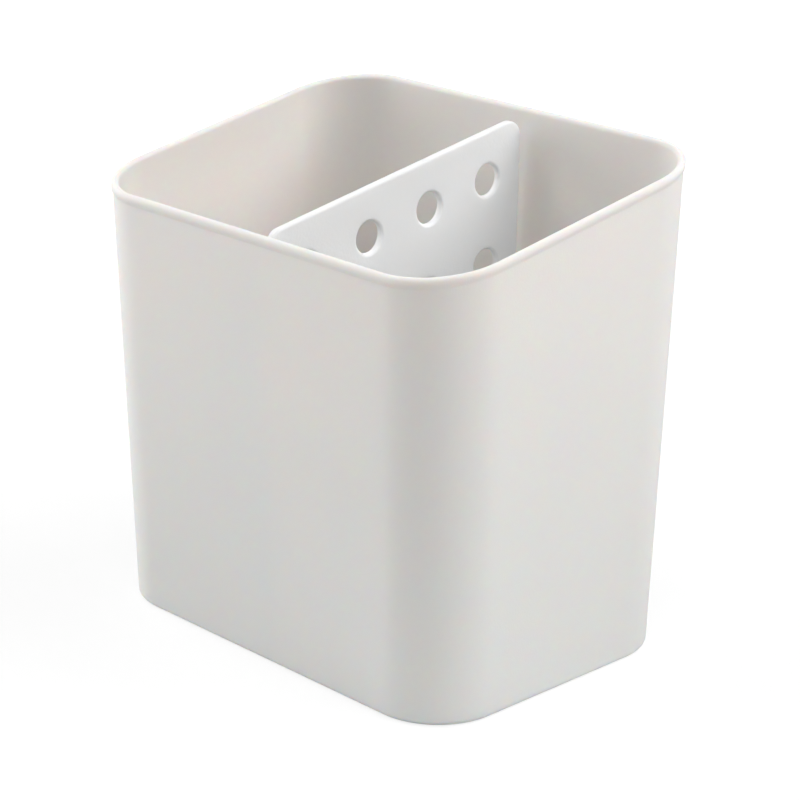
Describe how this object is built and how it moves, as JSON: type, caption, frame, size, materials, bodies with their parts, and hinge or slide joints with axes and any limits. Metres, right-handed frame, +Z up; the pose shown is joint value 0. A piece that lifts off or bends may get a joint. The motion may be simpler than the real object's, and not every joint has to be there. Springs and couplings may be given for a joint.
{
  "type": "chopstick holder",
  "caption": "Open rounded rectangular cup with a slanted rolled rim, split into two compartments by a pierced frosted divider that lifts out.",
  "frame": {"origin": "middle of the foot, on the surface that the holder stands on", "axes": "+Z up, -Y towards the low front of the rim, +X to the right seen from the front"},
  "size_m": [0.1434, 0.1021, 0.1399],
  "materials": {
    "off_white_plastic": "fine matte moulded surface, warm off-white",
    "frosted_plastic": "frosted, milky translucent, cool white"
  },
  "bodies": {
    "cup": {"cup": "off_white_plastic"},
    "divider": {"divider": "frosted_plastic"}
  },
  "joints": [
    {"name": "divider_lift", "type": "slide", "parent": "cup", "child": "divider", "axis": [0, 0, 1], "range_m": [0, 0.15]}
  ]
}
